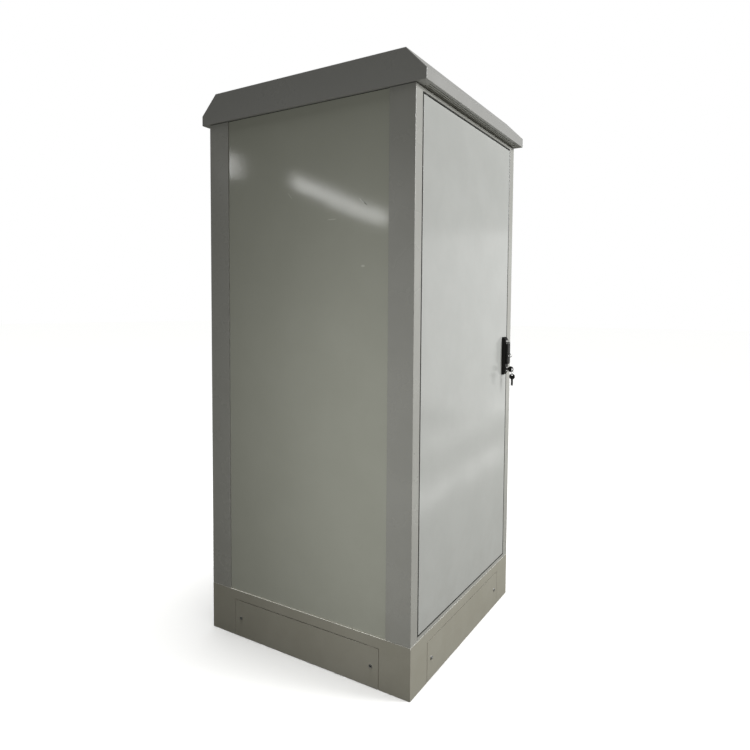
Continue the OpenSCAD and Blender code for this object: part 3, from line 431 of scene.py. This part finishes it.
# area lamps; the hidden ones leave no reflection or light only by reflection
lamps = [
    dict(name="doorLight", place=(1.7, -3.9, 2.62), aim=(0.0, -0.4, 0.9), along=(1, 0.4, 0),
         size=(2.2, 1.4), power=188.0),
    dict(name="kickLight", place=(-1.05, -0.28, 0.70), aim=(-0.4, -0.28, 0.70), along=(0, 0, 1),
         size=(1.35, 0.3), power=2.3, hidden="glossy"),
    dict(name="horizonLight", place=(4.0, -2.3, 1.0), aim=(0.0, -0.4, 1.0), along=(-0.4, 0.9, 0),
         size=(2.4, 1.9), power=8.5, hidden="diffuse"),
    dict(name="farStrip", place=(3.25, -1.9, 0.02), aim=(3.25, -1.9, 1.0), along=(1, 0, 0),
         size=(5.5, 0.36), power=4.2, hidden="diffuse"),
    dict(name="nearStrip", place=(2.0, -1.22, 0.02), aim=(2.0, -1.22, 1.0), along=(1, 0, 0),
         size=(4.0, 0.14), power=2.3, hidden="diffuse"),
    dict(name="barLight", place=(-2.80, 1.56, 1.985), aim=(-0.4, -0.14, 1.46), along=(0.291, 0.711, 0.322),
         size=(0.80, 0.09), power=1.6),
    dict(name="windowLight", place=(-2.4, 2.36, 2.25), aim=(-0.4, 0.285, 1.60), along=(0.7, 0.7, 0),
         size=(0.16, 0.16), power=0.42),
]


def makeStudio():
    bm = bmesh.new()
    bmesh.ops.create_grid(bm, x_segments=4, y_segments=4, size=studio["floorSize"])
    mesh = bpy.data.meshes.new("floor")
    bm.to_mesh(mesh)
    bm.free()
    floor = bpy.data.objects.new("floor", mesh)
    scene.collection.objects.link(floor)
    material, tree, coords, shader = startMaterial("paleFloor")
    cloud = addNode(tree, "ShaderNodeTexNoise", Scale=1.5, Detail=3.0)
    tree.links.new(coords, cloud.inputs["Vector"])
    tree.links.new(mixColors(tree, cloud.outputs["Fac"], *studio["floorTones"]),
                   shader.inputs["Base Color"])
    shader.inputs["Roughness"].default_value = studio["floorRough"]
    bounce = addNode(tree, "ShaderNodeBsdfDiffuse", Color=studio["bounce"] + (1.0,))
    seen = tree.nodes.new("ShaderNodeLightPath")
    blend = tree.nodes.new("ShaderNodeMixShader")  # a dull floor for bounced light keeps the side in shade
    tree.links.new(seen.outputs["Is Camera Ray"], blend.inputs["Fac"])
    tree.links.new(bounce.outputs[0], blend.inputs[1])
    tree.links.new(shader.outputs[0], blend.inputs[2])
    tree.links.new(blend.outputs[0], tree.nodes["Material Output"].inputs["Surface"])
    mesh.materials.append(material)

    world = bpy.data.worlds.new("studioWorld")
    world.use_nodes = True
    tree = world.node_tree
    soft = tree.nodes["Background"]
    soft.inputs["Color"].default_value = studio["ambientTone"] + (1.0,)
    soft.inputs["Strength"].default_value = studio["ambient"]
    white = addNode(tree, "ShaderNodeBackground", Color=(1.0, 1.0, 1.0, 1.0), Strength=1.0)
    seen = tree.nodes.new("ShaderNodeLightPath")
    mix = tree.nodes.new("ShaderNodeMixShader")
    tree.links.new(seen.outputs["Is Camera Ray"], mix.inputs["Fac"])
    tree.links.new(soft.outputs[0], mix.inputs[1])
    tree.links.new(white.outputs[0], mix.inputs[2])
    tree.links.new(mix.outputs[0], tree.nodes["World Output"].inputs["Surface"])
    scene.world = world

    for lamp in lamps:
        light = bpy.data.lights.new(lamp["name"], "AREA")
        light.shape = "RECTANGLE"
        light.size, light.size_y = lamp["size"]
        light.energy = lamp["power"]
        obj = bpy.data.objects.new(lamp["name"], light)
        scene.collection.objects.link(obj)
        obj.location = lamp["place"]
        back = (Vector(lamp["place"]) - Vector(lamp["aim"])).normalized()
        up = back.cross(Vector(lamp["along"])).normalized()
        obj.rotation_euler = Matrix((up.cross(back), up, back)).transposed().to_euler()
        obj.visible_camera = False
        obj.visible_glossy = lamp.get("hidden") != "glossy"
        obj.visible_diffuse = lamp.get("hidden") != "diffuse"

    sun = bpy.data.lights.new("overcastSky", "SUN")  # straight down, for an even floor
    sun.energy = studio["sun"]
    sun.angle = math.radians(studio["sunAngle"])
    scene.collection.objects.link(bpy.data.objects.new("overcastSky", sun))

    camera = bpy.data.cameras.new("camera")
    camera.lens = viewpoint["lens"]
    camera.sensor_width = viewpoint["sensor"]
    camera.shift_x, camera.shift_y = viewpoint["shift"]
    view = bpy.data.objects.new("camera", camera)
    view.location = viewpoint["place"]
    view.rotation_euler = [math.radians(a) for a in viewpoint["turn"]]
    scene.collection.objects.link(view)
    scene.camera = view


makeStudio()
print("studio made")
